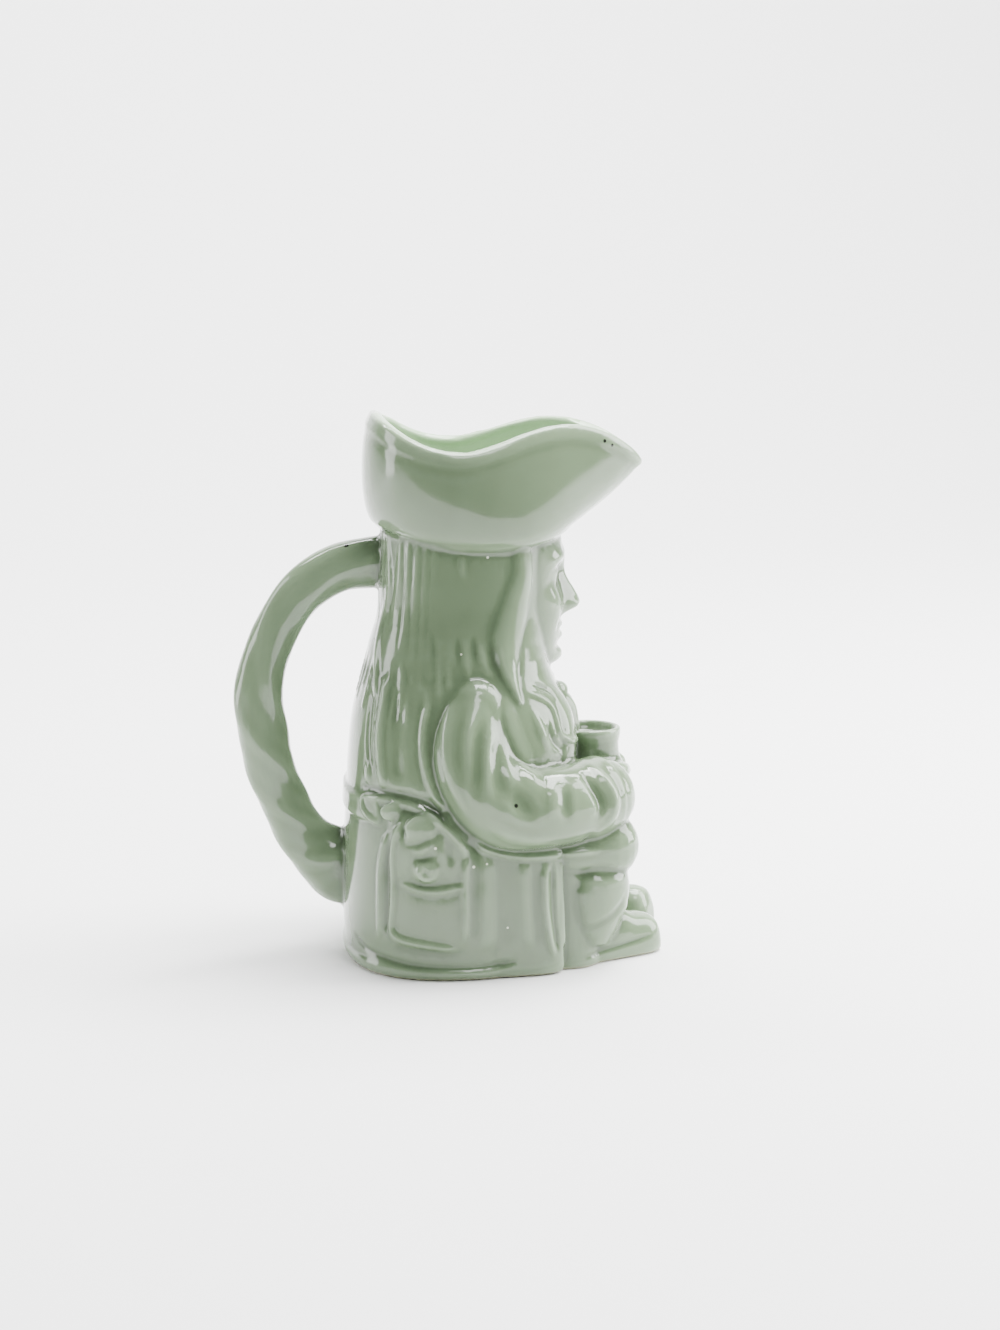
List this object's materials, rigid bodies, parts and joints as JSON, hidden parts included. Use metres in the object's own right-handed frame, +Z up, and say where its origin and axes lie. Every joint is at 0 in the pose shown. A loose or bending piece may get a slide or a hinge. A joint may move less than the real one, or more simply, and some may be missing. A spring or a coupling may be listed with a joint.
{
  "type": "toby jug",
  "caption": "Glazed earthenware toby jug: a seated figure in a tricorn hat holding an ale jug, with a spout in the hat and a twisted handle at the back.",
  "frame": {"origin": "middle of the footprint of the whole jug, on the plane that it stands on", "axes": "+Z up, +X the way the figure and the spout face, +Y the figure's left; the handle is at -X"},
  "size_m": [0.1311, 0.0914, 0.165],
  "materials": {
    "glaze": "gloss"
  },
  "bodies": {
    "root": {"toby_jug": "glaze"}
  },
  "joints": []
}
